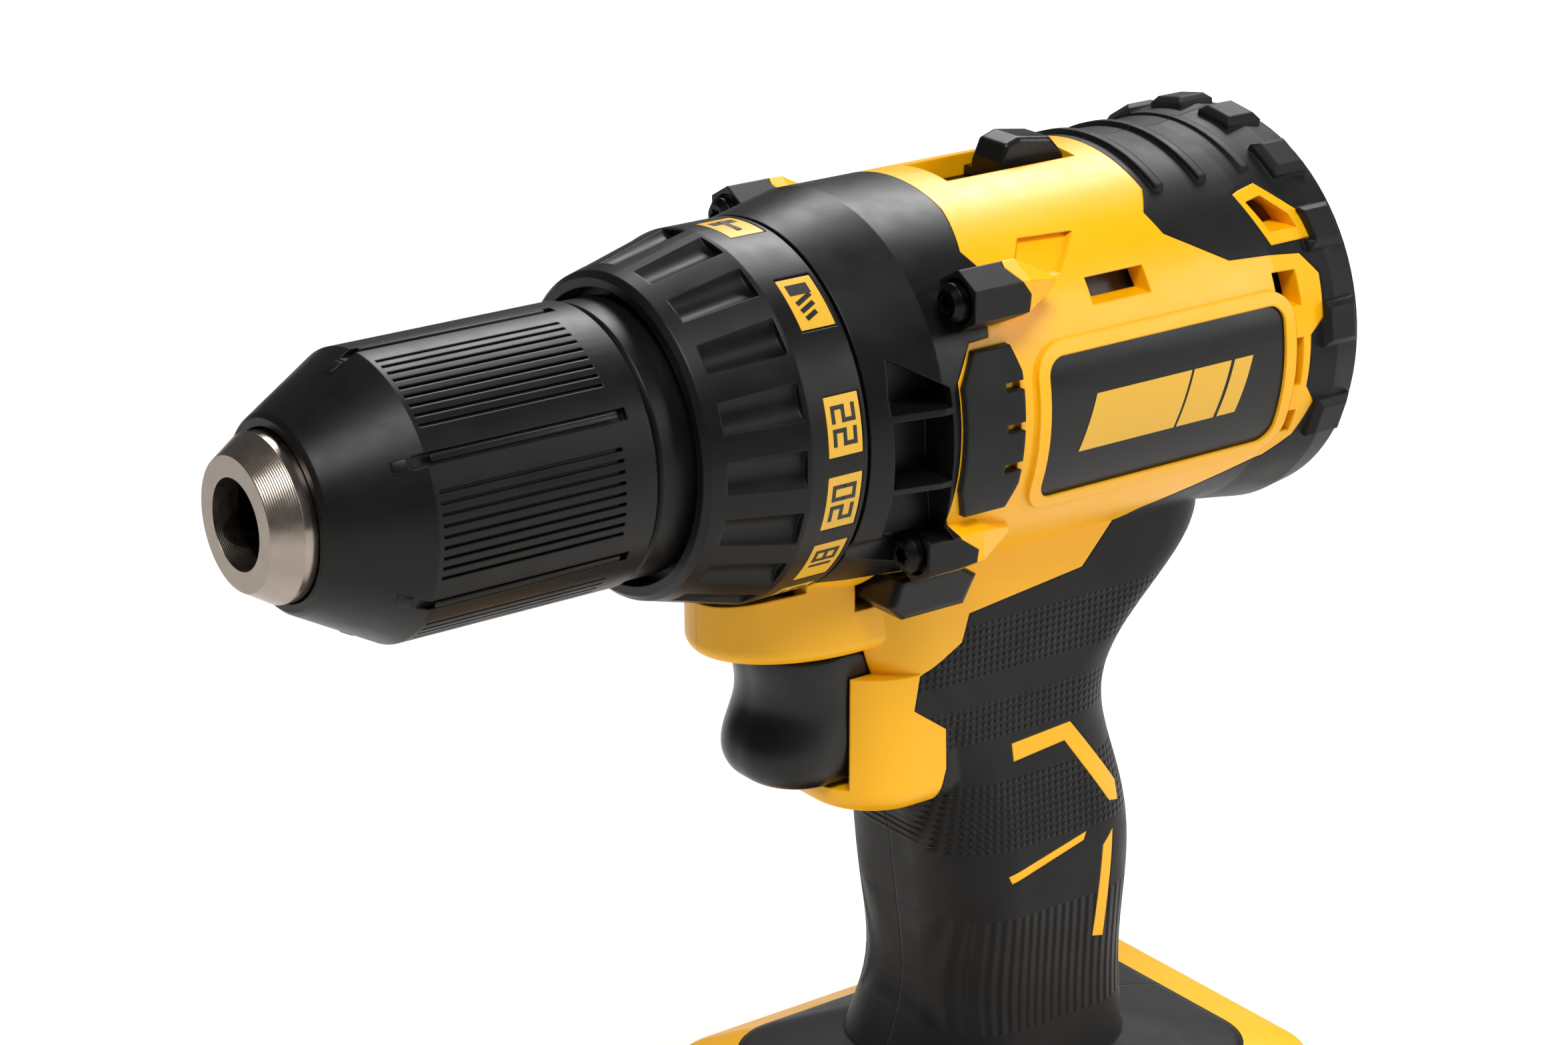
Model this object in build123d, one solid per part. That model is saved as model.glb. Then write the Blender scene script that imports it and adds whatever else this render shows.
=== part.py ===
from build123d import *

import math
import os

# Cordless two-speed drill, in the pieces that a bench technician would take it apart into.
# Frame: the origin is the mouth of the chuck's bore, on the spindle's axis. +X is the way the bit points, +Z is up
# and +Y is the tool's left side. All sizes are in millimetres.

# ---- Chuck ----
BORE_R = 6.75  # the chuck takes shanks up to 13 mm
NOSE_R = 9.9
NOSE_CONE_LENGTH = 4.1
NOSE_BAND_R = 12.4
NOSE_BAND_END = 8.2
CHUCK_CORE_R = 14.0
CHUCK_REAR_R = 17.4
BORE_DEPTH = 42.0
SCREW_HEAD_GAP = 0.4
SCREW_HEAD_LENGTH = 3.0
SLEEVE_R = 21.65
SLEEVE_LIP_R = 14.6
SLEEVE_FRONT = 6.2
SLEEVE_CONE_END = 19.8
SLEEVE_REAR = 56.9
SLEEVE_WALL = 1.6
SLEEVE_SECTORS = 6
FINE_GROOVES = 9
GROOVE_WIDTH = 0.55
GROOVE_DEPTH = 0.7
RING_R = 21.2
RING_GAP = 0.3
RING_LENGTH = 7.0
JAW_COUNT = 3
JAW_R = 3.6
JAW_ANGLE = 14.5
JAW_OFFSET = 2.6  # the jaw's axis is this far from the spindle's axis at the mouth
JAW_TIP = 24.0
JAW_LENGTH = 27.0
JAW_GRIP_R = 6.85
JAW_CLEARANCE = 0.12
NUT_FRONT = 30.0
NUT_LENGTH = 8.0
SLIDE_CLEARANCE = 0.3

# ---- Torque collar ----
COLLAR_FRONT = 62.6
COLLAR_REAR = 89.0
COLLAR_BAND_LENGTH = 8.4
COLLAR_GRIPS = 18
RUNNING_FIT = 0.08
LABEL_DEPTH = 0.35
LABEL_FRONT = 81.5
LABEL_LENGTH = 6.4
LABELS = [(90.0, 19.0), (48.8, 19.0)] + [(10.6 - 24.1 * n, 18.4) for n in range(11)]

# ---- Gearbox ----
MODULE = 0.9
SUN_TEETH = 12
PLANET_TEETH = 12
RING_TEETH = SUN_TEETH + 2 * PLANET_TEETH
PRESSURE_ANGLE = 25.0
ADDENDUM = 0.8
DEDENDUM = 1.1
BACKLASH = 0.16
GEAR_WIDTH = 7.0
PIN_R = 2.0
PIN_CLEARANCE = 0.05
PLANET_COUNT = 3
RING_GEAR_R = MODULE * (RING_TEETH / 2 + DEDENDUM) + 2.76
STAGE_1_FRONT = 101.5
STAGE_2_FRONT = 89.5
CARRIER_R = MODULE * PLANET_TEETH + 3.8
CARRIER_1_LENGTH = 3.4
OUTPUT_CARRIER_LENGTH = 4.0
STAGE_GAP = 0.5
SPINDLE_R = 6.0
SPINDLE_BEARING = (74.0, 82.0)
SPINDLE_BEARING_R = 14.0
GEARCASE_BORE_R = RING_GEAR_R + 0.05
GEARCASE_TUBE_R = GEARCASE_BORE_R + 2.9
GEARCASE_FRONT = 66.5
MOTOR_PLATE = (110.2, 112.4)
COLLAR_FRONT_R = GEARCASE_TUBE_R + 2.1
COLLAR_BAND_R = GEARCASE_TUBE_R + 6.0
COLLAR_MOUTH_R = GEARCASE_TUBE_R - 0.3
BARREL_R = COLLAR_BAND_R + 2.6
MOTOR_BAY_R = BARREL_R - 3.5

# ---- Motor ----
SHAFT_R = 2.5
STATOR_R = MOTOR_BAY_R - 1.0
STATOR_BORE_R = 12.6
STATOR = (123.0, 160.0)
ROTOR_R = 12.0
STATOR_TEETH = 6
FAN = (165.0, 171.0)
FAN_R = MOTOR_BAY_R - 4.5
FAN_BLADES = 13
MOTOR_BEARING_R = 8.0
FRONT_BEARING = (114.0, 119.0)
REAR_BEARING = (174.0, 179.0)
MOTOR_BOARD = (119.6, 121.2)

# ---- Housing ----
BARREL_FRONT = 89.3
BARREL_REAR = 187.0
BARREL_REAR_ROUND = 7.5
REAR_FLARE = 1.5
REAR_CAP_R = 21.0
REAR_CAP_LENGTH = 3.0
WALL = 2.6
OVERMOLD = 1.8
GRIP_WIDTH = 34.0
GUARD_FRONT = 78.0
GUARD_NOSE = 22.0
GUARD_WIDTH = 29.0
GUARD_TOP = 20.0
GUARD_BOTTOM = 39.2
GUARD_ROUND = 2.6
FOOT_TOP = 127.5
FOOT_BOTTOM = FOOT_TOP + 13.5
FOOT_FRONT = 92.0
FOOT_REAR = 186.0
FOOT_WIDTH = 70.0
FOOT_CORNER = 12.0
# z, front x, rear x, share of the grip's width: stations down the handle's outside
HANDLE_STATIONS = [
    (-14.0, 96.0, 180.0, 1.0),
    (-30.0, 98.0, 172.0, 1.0),
    (-44.0, 101.0, 160.0, 1.0),
    (-57.0, 108.0, 153.2, 0.98),
    (-70.0, 114.0, 155.8, 1.02),
    (-86.0, 117.0, 158.4, 1.08),
    (27.5 - FOOT_TOP, 118.8, 157.8, 1.06),
    (15.5 - FOOT_TOP, 118.0, 158.0, 1.06),
    (1.5 - FOOT_TOP, 116.0, 159.5, 1.08),
]
CHIN = (96.5, 126.0, 44.0, 67.4)
CHIN_ROUND = 3.6
# Side view of where the clamshell meets the gearcase, from the top down
FRONT_EDGE = [
    (-116.0, 60.0),
    (-115.2, 29.0),
    (-112.8, 24.5),
    (-115.8, 20.5),
    (-115.2, 17.2),
    (-111.8, 15.2),
    (-111.4, 13.6),
    (-107.6, 13.4),
    (-104.2, 8.4),
    (-104.0, -13.6),
    (-105.6, -16.6),
    (-109.0, -19.0),
    (-108.4, -22.6),
    (-93.0, -24.4),
    (-70.0, -24.4),
]
# Side view of the rear overmold's edge
REAR_EDGE = [
    (-152.0, 60.0),
    (-152.0, 27.0),
    (-149.2, 24.5),
    (-150.6, 21.6),
    (-161.0, 16.4),
    (-174.6, 15.6),
    (-177.2, 12.4),
    (-176.8, 5.6),
    (-174.4, 3.2),
    (-174.2, -5.4),
    (-176.2, -8.4),
    (-174.2, -14.2),
    (-170.4, -17.6),
    (-150.0, -24.0),
]
# Side view of the grip overmold's front edge, from under the barrel down to the foot
GRIP_EDGE = [
    (-150.0, -24.0),
    (-141.0, -33.0),
    (-118.0, -35.6),
    (-116.6, -40.2),
    (-109.0, -44.4),
    (-108.0, -50.0),
    (-114.4, -54.6),
    (-114.6, -61.4),
    (-112.6, -68.0),
    (-98.0, -68.0),
    (-80.0, -68.0),
]
GRIP_BOTTOM = 2.5 - FOOT_TOP
GRIP_BAY_BOTTOM = FOOT_TOP - 7.5
# Side views of the yellow inlays that show through the grip's rubber
INLAYS = [
    [
        (-127.6, -60.4), (-139.8, -59.6), (-150.6, -73.0), (-150.8, -76.4), (-148.2, -75.6), (-138.6, -62.6),
        (-128.0, -63.6),
    ],
    [(-126.6, -83.2), (-142.8, -79.4), (-142.2, -80.8), (-127.2, -84.6)],
    [(-148.8, -80.6), (-146.4, -82.8), (-144.8, -99.0), (-147.2, -99.6)],
]
# Side view of the yellow rim round the upper rear vent, and of the vent itself
VENT_RIM = [(-167.6, 24.4), (-172.4, 25.4), (-177.0, 21.6), (-177.4, 17.6), (-170.2, 17.2)]
VENT_HOLE = [(-169.2, 23.2), (-172.2, 23.8), (-175.4, 21.0), (-175.8, 19.2), (-171.0, 18.9)]
# Side view of the shallow dished facet above the nameplate
FACET = [(-117.6, 19.0), (-124.0, 24.6), (-134.4, 24.2), (-128.4, 19.6)]
FACET_DEPTH = 0.9
# Side view of the ribbed window in each cheek of the gearcase
WINDOW = [(-93.4, 13.2), (-102.6, 8.0), (-103.0, -6.0), (-104.2, -16.4), (-93.8, -15.0), (-92.6, 8.0)]
# x and z ranges of the cooling slots on both sides
VENTS = [
    (132.4, 144.0, 14.6, 18.4),
    (168.6, 173.0, 8.0, 13.4),
    (170.4, 173.0, -5.0, 3.0),
    (168.8, 173.2, -13.2, -9.4),
]
UPPER_SCREW = (105.0, 0.92 * BARREL_R, 0.648 * BARREL_R)
LOWER_SCREW = (99.5, 0.825 * BARREL_R, -0.59 * BARREL_R)
SCREW_HEAD_R = 3.0
SCREW_LENGTH = 12.0
SCREW_BOSS_R = 4.8
BOSS_LENGTH = 10.5
BOSS_TAIL = 7.5
BOSS_TAIL_SLOPE = 24.0
PLATE = (121.0, 169.2, -14.0, 9.0)
PLATE_DEPTH = 0.8
PLATE_FRAME = 2.2
PLATE_FRAME_HEIGHT = 0.7
PAD_GROOVES = (-6.4, 0.0, 6.4)
TOP_RIBS = (154.0, 163.0, 172.0)
RIB_HEIGHT = 0.8
REAR_LUGS = (80.0, 58.0, 35.0, 8.0, -20.0)
LUG_HEIGHT = 1.2
PAD = (104.4, 115.6, -13.4, 12.4)
PAD_HEIGHT = 1.1

# ---- Controls ----
SELECTOR_SLOT = (121.5, 147.0, 11.5)
SELECTOR_TRAVEL = 10.0
SELECTOR_KNOB = (12.6, 7.0)
SELECTOR_TOP = BARREL_R + 3.4
TRIGGER_FRONT = 85.5
TRIGGER_REAR = 103.0
TRIGGER_TOP = -40.2
TRIGGER_BOTTOM = -62.5
TRIGGER_WIDTH = 22.0
TRIGGER_TRAVEL = 6.0
SWITCH_REAR = 134.0
BUTTON_X = (98.0, 115.0)
BUTTON_Z = (-31.0, -24.2)
BUTTON_REACH = 23.0
BUTTON_TRAVEL = 7.0

LAMP_Z = -FOOT_TOP - 3.5
LAMP_R = 2.6
LAMP_LENGTH = 6.0

# ---- Battery ----
CELL_R = 9.0
CELL_LENGTH = 65.0
CELL_GAP = 0.4
CELLS = 5
PACK_FRONT = 86.0
PACK_REAR = PACK_FRONT + CELLS * (2 * CELL_R + CELL_GAP) + 12.0
PACK_WIDTH = CELL_LENGTH + 9.0
PACK_SPLIT = FOOT_BOTTOM + 16.0
PACK_BOTTOM = PACK_SPLIT + 2 * CELL_R + 10.0
PACK_CORNER = 12.0
PACK_WALL = 2.2
PACK_GAP = 0.4
RAIL_NECK = 30.0
RAIL_HEAD = 38.0
RAIL_TOP = FOOT_BOTTOM - 6.2
RAIL_LIP = FOOT_BOTTOM - 2.6
RAIL_REAR = 168.0
RAIL_SETBACK = 8.0
RAIL_CLEARANCE = 0.4
BLADES = 4
BLADE_X = (146.0, 160.0)
BLADE_PITCH = 7.0
BLADE_THICKNESS = 0.8


# ---------------------------------------------------------------- helpers
def revolved(points):
    """A solid of revolution about the spindle's axis, from (distance behind the mouth, radius) points."""
    outline = Polyline(*[(-x, 0, r) for x, r in points], close=True)
    return revolve(make_face(outline), Axis.X, 360)


def tube(front, rear, outer, inner=0.0):
    """A plain tube or disc on the spindle's axis."""
    body = Pos(-(front + rear) / 2, 0, 0) * Rot(0, 90, 0) * Cylinder(outer, rear - front)
    if inner:
        body -= Pos(-(front + rear) / 2, 0, 0) * Rot(0, 90, 0) * Cylinder(inner, rear - front + 1)
    return body


def block(x, y, z):
    """A box from its (low, high) ranges."""
    size = [max(r) - min(r) for r in (x, y, z)]
    return Pos(*[(max(r) + min(r)) / 2 for r in (x, y, z)]) * Box(*size)


def side_slab(points, y_low, y_high):
    """A prism across the tool, from (x, z) points of a side view."""
    outline = Polyline(*[(x, y_low, z) for x, z in points], close=True)
    return extrude(make_face(outline), amount=y_high - y_low, dir=(0, 1, 0))


def around(part, count, start=0.0):
    """Copies of a part turned evenly about the spindle's axis."""
    return [Rot(start + 360 * n / count, 0, 0) * part for n in range(count)]


def halves(solid):
    """The left and right halves of a solid, split on the tool's middle plane."""
    left = solid & block((-400, 100), (0, 100), (-300, 100))
    right = solid & block((-400, 100), (-100, 0), (-300, 100))
    return left, right


def write(name, *shapes):
    """One STEP file for a node, holding each of its solids."""
    solids = [s for shape in shapes for s in shape.solids()]
    export_step(solids[0] if len(solids) == 1 else Compound(children=solids), f"parts/{name}.step")


# ---------------------------------------------------------------- chuck
def jaw_axis(part):
    """Carries a part drawn along +X from the mouth onto the first jaw's slanting axis."""
    return Pos(0, 0, JAW_OFFSET) * Rot(0, JAW_ANGLE, 0) * part


def make_jaw():
    """One jaw, wide open: a slanting steel pin whose inner side is cut to a gripping edge."""
    slope = math.cos(math.radians(JAW_ANGLE))
    length = JAW_LENGTH / slope
    pin = jaw_axis(Pos(-JAW_TIP / slope - length / 2, 0, 0) * Rot(0, 90, 0) * Cylinder(JAW_R, length))
    reach, rise = 30.0, 30.0 / math.tan(math.radians(60))
    wedge = Polyline(
        (0, 0, JAW_GRIP_R), (0, reach, JAW_GRIP_R + rise), (0, reach, -reach),
        (0, -reach, -reach), (0, -reach, JAW_GRIP_R + rise), close=True,
    )
    cutter = extrude(make_face(wedge), amount=-80, dir=(1, 0, 0))
    tip_chamfer = Pos(-JAW_TIP, 0, 0) * Box(2.0, 40, 80)
    return pin - cutter - tip_chamfer


def make_chuck_body():
    """The steel body: bore, jaw channels, nut seat and the socket that screws onto the spindle."""
    profile = [
        (0, BORE_R), (0, NOSE_R), (NOSE_CONE_LENGTH, NOSE_BAND_R), (NOSE_BAND_END, NOSE_BAND_R),
        (NOSE_BAND_END, CHUCK_CORE_R - 0.2), (NUT_FRONT - 4, CHUCK_CORE_R - 0.2), (NUT_FRONT - 4, CHUCK_CORE_R - 1.5),
        (NUT_FRONT + NUT_LENGTH + 1, CHUCK_CORE_R - 1.5), (NUT_FRONT + NUT_LENGTH + 1, CHUCK_REAR_R),
        (SLEEVE_REAR + RING_LENGTH - 1, CHUCK_REAR_R), (SLEEVE_REAR + RING_LENGTH - 1, SPINDLE_R + 0.05),
        (BORE_DEPTH, SPINDLE_R + 0.05), (BORE_DEPTH, BORE_R),
    ]
    channel = jaw_axis(Pos(-40, 0, 0) * Rot(0, 90, 0) * Cylinder(JAW_R + JAW_CLEARANCE, 100))
    channel &= tube(-1, 54, 30)
    return revolved(profile) - around(channel, JAW_COUNT)


def make_sleeve():
    """The plastic sleeve that a hand turns, with grip grooves in six sectors."""
    profile = [
        (SLEEVE_FRONT, NOSE_BAND_R + SLIDE_CLEARANCE), (SLEEVE_FRONT, SLEEVE_LIP_R - 0.6),
        (SLEEVE_FRONT + 0.6, SLEEVE_LIP_R), (SLEEVE_CONE_END, SLEEVE_R), (SLEEVE_REAR - 0.6, SLEEVE_R),
        (SLEEVE_REAR, SLEEVE_R - 0.6), (SLEEVE_REAR, SLEEVE_R - SLEEVE_WALL), (NUT_FRONT, SLEEVE_R - SLEEVE_WALL),
        (NUT_FRONT, CHUCK_CORE_R + 0.8), (NOSE_BAND_END - 0.6, CHUCK_CORE_R + 0.1),
        (NOSE_BAND_END - 0.6, NOSE_BAND_R + SLIDE_CLEARANCE),
    ]
    body = revolved(profile)
    fine = block((-51.0, -SLEEVE_CONE_END - 0.8), (-GROOVE_WIDTH / 2, GROOVE_WIDTH / 2), (SLEEVE_R - GROOVE_DEPTH, 30))
    wide = block((-53.0, -13.5), (-0.9, 0.9), (SLEEVE_R - 1.0, 30))
    spacing = 4.3
    grooves = []
    for sector in range(SLEEVE_SECTORS):
        turn = 360 * sector / SLEEVE_SECTORS
        grooves.append(Rot(turn, 0, 0) * wide)
        for n in range(FINE_GROOVES):
            offset = (n - (FINE_GROOVES - 1) / 2) * spacing + 180 / SLEEVE_SECTORS
            grooves.append(Rot(turn + offset, 0, 0) * fine)
    return body - grooves


def make_chuck_nut():
    """The conical nut inside the sleeve that drives the jaws."""
    slope = math.tan(math.radians(JAW_ANGLE))
    clear = JAW_R / math.cos(math.radians(JAW_ANGLE)) + JAW_CLEARANCE + 0.15
    front_r = JAW_OFFSET + NUT_FRONT * slope + clear
    rear = NUT_FRONT + NUT_LENGTH
    rear_r = JAW_OFFSET + rear * slope + clear
    outer = SLEEVE_R - SLEEVE_WALL - 0.05
    return revolved([(NUT_FRONT, front_r), (NUT_FRONT, outer), (rear, outer), (rear, rear_r)])


def make_chuck():
    """Every piece of the chuck."""
    write("chuck_body", make_chuck_body())
    write("chuck_sleeve", make_sleeve())
    write("chuck_nut", make_chuck_nut())
    ring_front = SLEEVE_REAR + RING_GAP
    ring = revolved([
        (ring_front, CHUCK_REAR_R + 0.05), (ring_front, RING_R - 0.5), (ring_front + 0.5, RING_R),
        (ring_front + RING_LENGTH, RING_R), (ring_front + RING_LENGTH, CHUCK_REAR_R + 0.05),
    ])
    write("chuck_rear_ring", ring)
    for n, jaw in enumerate(around(make_jaw(), JAW_COUNT)):
        write(f"jaw_{n + 1}", jaw)
    front = BORE_DEPTH + SCREW_HEAD_GAP
    head = tube(front, front + SCREW_HEAD_LENGTH, SPINDLE_R - 1.0)
    write("chuck_screw", head - tube(front - 1, front + 1.8, 2.0))


# ---------------------------------------------------------------- collar
def make_collar():
    """The torque collar: a tapered grip in front and a flat band behind that carries the marks."""
    band_front = COLLAR_REAR - COLLAR_BAND_LENGTH
    bore = GEARCASE_TUBE_R + RUNNING_FIT
    profile = [
        (COLLAR_FRONT, COLLAR_MOUTH_R), (COLLAR_FRONT, COLLAR_FRONT_R - 0.9), (COLLAR_FRONT + 0.9, COLLAR_FRONT_R),
        (band_front - 2.0, COLLAR_BAND_R), (COLLAR_REAR - 0.4, COLLAR_BAND_R), (COLLAR_REAR, COLLAR_BAND_R - 0.4),
        (COLLAR_REAR, bore), (GEARCASE_FRONT - 0.5, bore), (GEARCASE_FRONT - 0.5, COLLAR_MOUTH_R),
    ]
    taper = math.degrees(math.atan2(COLLAR_BAND_R - COLLAR_FRONT_R, band_front - 2.0 - COLLAR_FRONT))
    length = band_front - 4.0 - COLLAR_FRONT
    scallop = Pos(-COLLAR_FRONT - 1.6 - length / 2, 0, COLLAR_FRONT_R + 5.2) * Rot(0, taper - 1.5, 0)
    scallop *= Rot(0, 90, 0) * Cylinder(4.2, length - 1.6)
    body = revolved(profile) - around(scallop, COLLAR_GRIPS, 10.0)
    return body - label_shells(LABEL_DEPTH)


def label_shells(depth):
    """The sunken fields round the collar's band, one for each mark."""
    shell = tube(LABEL_FRONT, LABEL_FRONT + LABEL_LENGTH, COLLAR_BAND_R, COLLAR_BAND_R - depth)
    fields = []
    for middle, span in LABELS:
        half = math.radians(span / 2)
        reach = 60.0
        sector = Polyline(
            (0, 0, 0), (0, reach * math.cos(-half), reach * math.sin(-half)),
            (0, reach * math.cos(half), reach * math.sin(half)), close=True,
        )
        wedge = extrude(make_face(sector), amount=-120, dir=(1, 0, 0))
        fields.append(Rot(middle, 0, 0) * (shell & wedge))
    return fields


# ---------------------------------------------------------------- gears
def involute(angle):
    return math.tan(angle) - angle


def gear_points(teeth, tip, root, thicken, phase=0.0):
    """(y, z) points round a spur gear. Thicken is added to each tooth's width at the pitch circle."""
    pitch = MODULE * teeth / 2
    pressure = math.radians(PRESSURE_ANGLE)
    base = pitch * math.cos(pressure)
    half_pitch = math.pi / (2 * teeth) + thicken / (2 * pitch)
    steps = [root + (tip - root) * n / 5 for n in range(6)]

    def half_angle(radius):
        local = math.acos(base / radius) if radius > base else 0.0
        return half_pitch + involute(pressure) - involute(local)

    flank = [(r, half_angle(r)) for r in steps]
    points = []
    for n in range(teeth):
        centre = 2 * math.pi * n / teeth + math.radians(phase)
        points += [(r, centre - a) for r, a in flank] + [(r, centre + a) for r, a in reversed(flank)]
    return [(r * math.cos(a), r * math.sin(a)) for r, a in points]


def prism(points, front, width):
    """A prism along the spindle's axis from (y, z) points."""
    face = make_face(Polyline(*[(-front, y, z) for y, z in points], close=True))
    return extrude(face, amount=width, dir=(-1, 0, 0))


def outer_gear(teeth, front, width, phase=0.0):
    """A spur gear, thinned by the backlash."""
    pitch = MODULE * teeth / 2
    tip, root = pitch + ADDENDUM * MODULE, pitch - DEDENDUM * MODULE
    return prism(gear_points(teeth, tip, root, -BACKLASH, phase), front, width)


def ring_gear(front, width):
    """A ring gear with inner teeth and six lugs that hold it still in the gearcase."""
    pitch = MODULE * RING_TEETH / 2
    tip, root = pitch + DEDENDUM * MODULE, pitch - ADDENDUM * MODULE
    space = prism(gear_points(RING_TEETH, tip, root, BACKLASH, 180 / RING_TEETH), front - 1, width + 2)
    return tube(front, front + width, RING_GEAR_R) - space


def planets(front):
    """Three planet gears with bored centres, in mesh with a sun that has a tooth at each planet."""
    distance = MODULE * (SUN_TEETH + PLANET_TEETH) / 2
    gear = outer_gear(PLANET_TEETH, front, GEAR_WIDTH, 180 / PLANET_TEETH)
    gear -= tube(front - 1, front + GEAR_WIDTH + 1, PIN_R + PIN_CLEARANCE)
    return around(Pos(0, distance, 0) * gear, PLANET_COUNT)


def carrier_pins(front, rear):
    """The three pins that the planets turn on."""
    distance = MODULE * (SUN_TEETH + PLANET_TEETH) / 2
    return around(Pos(0, distance, 0) * tube(front, rear, PIN_R), PLANET_COUNT)


def make_gearbox():
    """Both planetary stages, the spindle and the case that holds them."""
    for stage, front in ((1, STAGE_1_FRONT), (2, STAGE_2_FRONT)):
        write(f"ring_gear_{stage}", ring_gear(front - 0.4, GEAR_WIDTH + 0.8))
        for n, gear in enumerate(planets(front)):
            write(f"planet_{stage}{'abc'[n]}", gear)
    disc_rear = STAGE_1_FRONT - STAGE_GAP
    disc = tube(disc_rear - CARRIER_1_LENGTH, disc_rear, CARRIER_R)
    pins = carrier_pins(disc_rear - 1.0, STAGE_1_FRONT + GEAR_WIDTH)
    sun = outer_gear(SUN_TEETH, STAGE_2_FRONT, disc_rear - 1.0 - STAGE_2_FRONT)
    write("stage_1_carrier", disc + pins + sun)
    disc_rear = STAGE_2_FRONT - STAGE_GAP
    disc = tube(disc_rear - OUTPUT_CARRIER_LENGTH, disc_rear, CARRIER_R)
    pins = carrier_pins(disc_rear - 1.0, STAGE_2_FRONT + GEAR_WIDTH)
    write("output_carrier", disc + pins)
    spindle_front = BORE_DEPTH + SCREW_HEAD_GAP + SCREW_HEAD_LENGTH
    write("spindle", tube(spindle_front, disc_rear - OUTPUT_CARRIER_LENGTH, SPINDLE_R))
    front, rear = SPINDLE_BEARING
    write("spindle_bearing", tube(front, rear, SPINDLE_BEARING_R, SPINDLE_R + 0.02))
    write("motor_pinion", outer_gear(SUN_TEETH, STAGE_1_FRONT, GEAR_WIDTH + 0.6) - tube(90, 120, SHAFT_R + 0.02))


# ---------------------------------------------------------------- outer form
def handle_form(inset):
    """The handle's outside, lofted through rounded stations from inside the barrel to the foot."""
    sections = []
    for z, front, rear, share in HANDLE_STATIONS:
        length = rear - front - 2 * inset
        width = GRIP_WIDTH * share - 2 * inset
        corner = min(12.5, width / 2 - 0.6)
        sections.append(Pos(-(front + rear) / 2, 0, z) * RectangleRounded(length, width, corner))
    return loft(sections)


def chin_form(inset):
    """The chin under the trigger, rounded in plan and along its lower edge."""
    front, rear, top, bottom = CHIN
    width = GRIP_WIDTH * 0.96 - 2 * inset
    plan = RectangleRounded(rear - front - 2 * inset, width, width / 2 - 4)
    chin = Pos(-(front + rear) / 2, 0, -bottom + inset) * extrude(plan, amount=bottom - top - inset)
    return fillet(chin.edges().group_by(Axis.Z)[0], CHIN_ROUND)


def foot_form(inset):
    """The foot that the battery slides under, with the flare that runs up into the handle."""
    z, front, rear, share = HANDLE_STATIONS[-1]
    plan = RectangleRounded(rear - front - 2 * inset - 2, GRIP_WIDTH - 2 * inset, GRIP_WIDTH / 2 - 5)
    top = Pos(-(front + rear) / 2, 0, z + 6) * plan
    middle = -(FOOT_FRONT + FOOT_REAR) / 2
    length = FOOT_REAR - FOOT_FRONT - 2 * inset
    plan = RectangleRounded(length, FOOT_WIDTH - 2 * inset, FOOT_CORNER - inset)
    flare = loft([top, Pos(middle, 0, -FOOT_TOP - inset) * plan], ruled=True)
    return flare + Pos(middle, 0, -FOOT_TOP - inset) * extrude(plan, amount=-(FOOT_BOTTOM - FOOT_TOP - inset))


def barrel_form(inset):
    """The round barrel over the gearbox and motor, closed at the back."""
    r = BARREL_R - inset
    rear = BARREL_REAR - inset
    return revolved([
        (BARREL_FRONT, 0), (BARREL_FRONT, COLLAR_BAND_R - inset), (BARREL_FRONT + 12, r), (PLATE[1], r),
        (rear - BARREL_REAR_ROUND, r + REAR_FLARE), (rear - 2.6, r + REAR_FLARE - 0.7), (rear, r - 3.0), (rear, 0),
    ])


def guard_form(inset):
    """The block over the trigger, with a bullet-shaped nose in plan and a rounded lower edge."""
    half = GUARD_WIDTH / 2 - inset
    middle = -GUARD_FRONT - GUARD_NOSE
    rear = -HANDLE_STATIONS[0][1] - 18
    plan = Pos(middle, 0, 0) * Ellipse(GUARD_NOSE - inset, half)
    plan += Pos((middle + rear) / 2, 0, 0) * Rectangle(middle - rear, 2 * half)
    guard = Pos(0, 0, -GUARD_BOTTOM + inset) * extrude(plan, amount=GUARD_BOTTOM - GUARD_TOP - inset)
    return fillet(guard.edges().group_by(Axis.Z)[0], GUARD_ROUND)


def outer_form(inset=0.0):
    """The whole outside of the clamshell, its overmould included, at an inset from the surface."""
    # The collar turns in this space, which the guard's top passes under.
    swept = tube(50, BARREL_FRONT + 0.3 - 0.01, COLLAR_BAND_R + 0.9)
    guard = guard_form(inset) - swept
    return barrel_form(inset) + handle_form(inset) + chin_form(inset) + guard + foot_form(inset)


def front_region(y_low=-80, y_high=80):
    """The space ahead of the clamshell's front edge, where the gearcase shows."""
    return side_slab([*FRONT_EDGE, (0, -24.4), (0, 60)], y_low, y_high)


def overmold_region():
    """The space where soft black rubber covers the clamshell: round the back and over the grip."""
    back = side_slab([*REAR_EDGE, (-230, -24), (-230, 60)], -80, 80)
    grip = side_slab([*GRIP_EDGE, (-80, GRIP_BOTTOM), (-230, GRIP_BOTTOM), (-230, -24)], -80, 80)
    inlays = [side_slab(points, *reach) for points in INLAYS for reach in ((6, 60), (-60, -6))]
    rims = [side_slab(VENT_RIM, *reach) for reach in ((12, 60), (-60, -12))]
    return back + grip - inlays - rims


def screw_bosses():
    """The six-sided ears round the gearcase screws, two on each side of the tool, with tapering tails."""
    plan = RegularPolygon(SCREW_BOSS_R, 6)
    ear = extrude(plan, BOSS_LENGTH) + extrude(plan, -BOSS_TAIL, taper=BOSS_TAIL_SLOPE)
    places = [(x, side * y, z) for x, y, z in (UPPER_SCREW, LOWER_SCREW) for side in (1, -1)]
    return [Pos(-x - BOSS_LENGTH, y, z) * Rot(0, 90, 0) * ear for x, y, z in places]


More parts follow.
